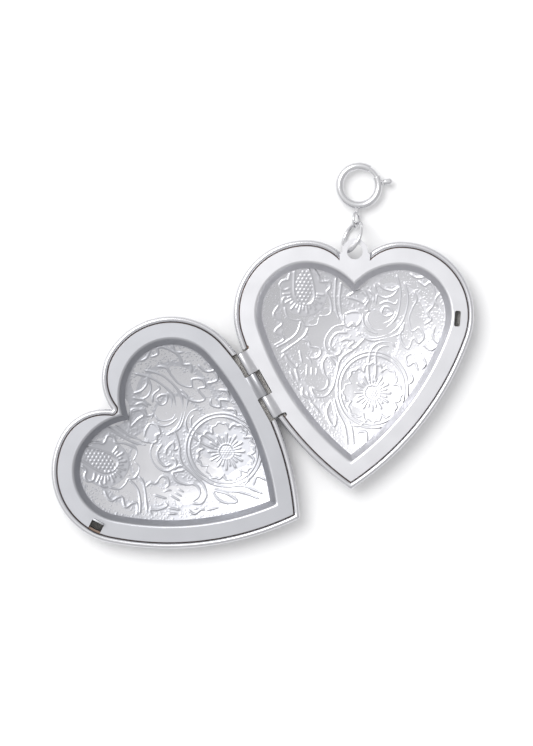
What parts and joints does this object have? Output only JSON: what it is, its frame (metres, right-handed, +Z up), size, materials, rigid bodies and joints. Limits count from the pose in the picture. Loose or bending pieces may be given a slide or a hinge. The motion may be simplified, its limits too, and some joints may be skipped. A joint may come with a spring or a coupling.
{
  "type": "heart locket",
  "caption": "Heart-shaped locket lying open like a book, with pressed floral covers, a picture recess in each, a hinge, a jump ring and a bolt ring clasp",
  "frame": {"origin": "middle of the flat back of the rear cover, on the surface the open locket lies on", "axes": "+Z up, out of the open covers; +Y along the rear heart's middle line to its notch and lug; the front cover lies open towards -X and -Y"},
  "size_m": [0.0534, 0.0497, 0.0047],
  "materials": {
    "shell": "silver plate, bright, pressed with flowers and leaves",
    "frame": "silver plate, bright and smooth",
    "wire": "silver plate on drawn wire, bright",
    "clasp": "silver plate, bright",
    "pin": "drawn steel wire"
  },
  "bodies": {
    "rear_cover": {"rear_shell": "shell", "rear_frame": "frame", "hinge_pin": "pin"},
    "front_cover": {"front_shell": "shell", "front_frame": "frame"},
    "link": {"jump_ring": "wire"},
    "clasp": {"clasp_eye": "wire", "clasp_tube": "clasp", "clasp_stop": "pin", "clasp_spring": "pin"},
    "bolt": {"clasp_bolt": "wire", "clasp_trigger": "clasp"}
  },
  "joints": [
    {"name": "cover_hinge", "type": "hinge", "parent": "rear_cover", "child": "front_cover", "pos_m": [-0.01199, -0.00457, 0.00355], "axis": [-0.5075, 0.8616, 0], "range_deg": [0, 180]},
    {"name": "link_swing", "type": "hinge", "parent": "rear_cover", "child": "link", "pos_m": [-0.00051, 0.01286, 0.00335], "axis": [0, 0, 1], "range_deg": [-10, 20]},
    {"name": "clasp_swing", "type": "hinge", "parent": "link", "child": "clasp", "pos_m": [0.00008, 0.0163, 0.00132], "axis": [0.53, 0.242, 0.8127], "range_deg": [-8, 25]},
    {"name": "bolt_slide", "type": "hinge", "parent": "clasp", "child": "bolt", "pos_m": [0.00043, 0.02109, 0.00116], "axis": [0, 0, 1], "range_deg": [-38, 0], "stiffness_Nm_per_rad": 0.001, "springref_deg": 17.19}
  ]
}
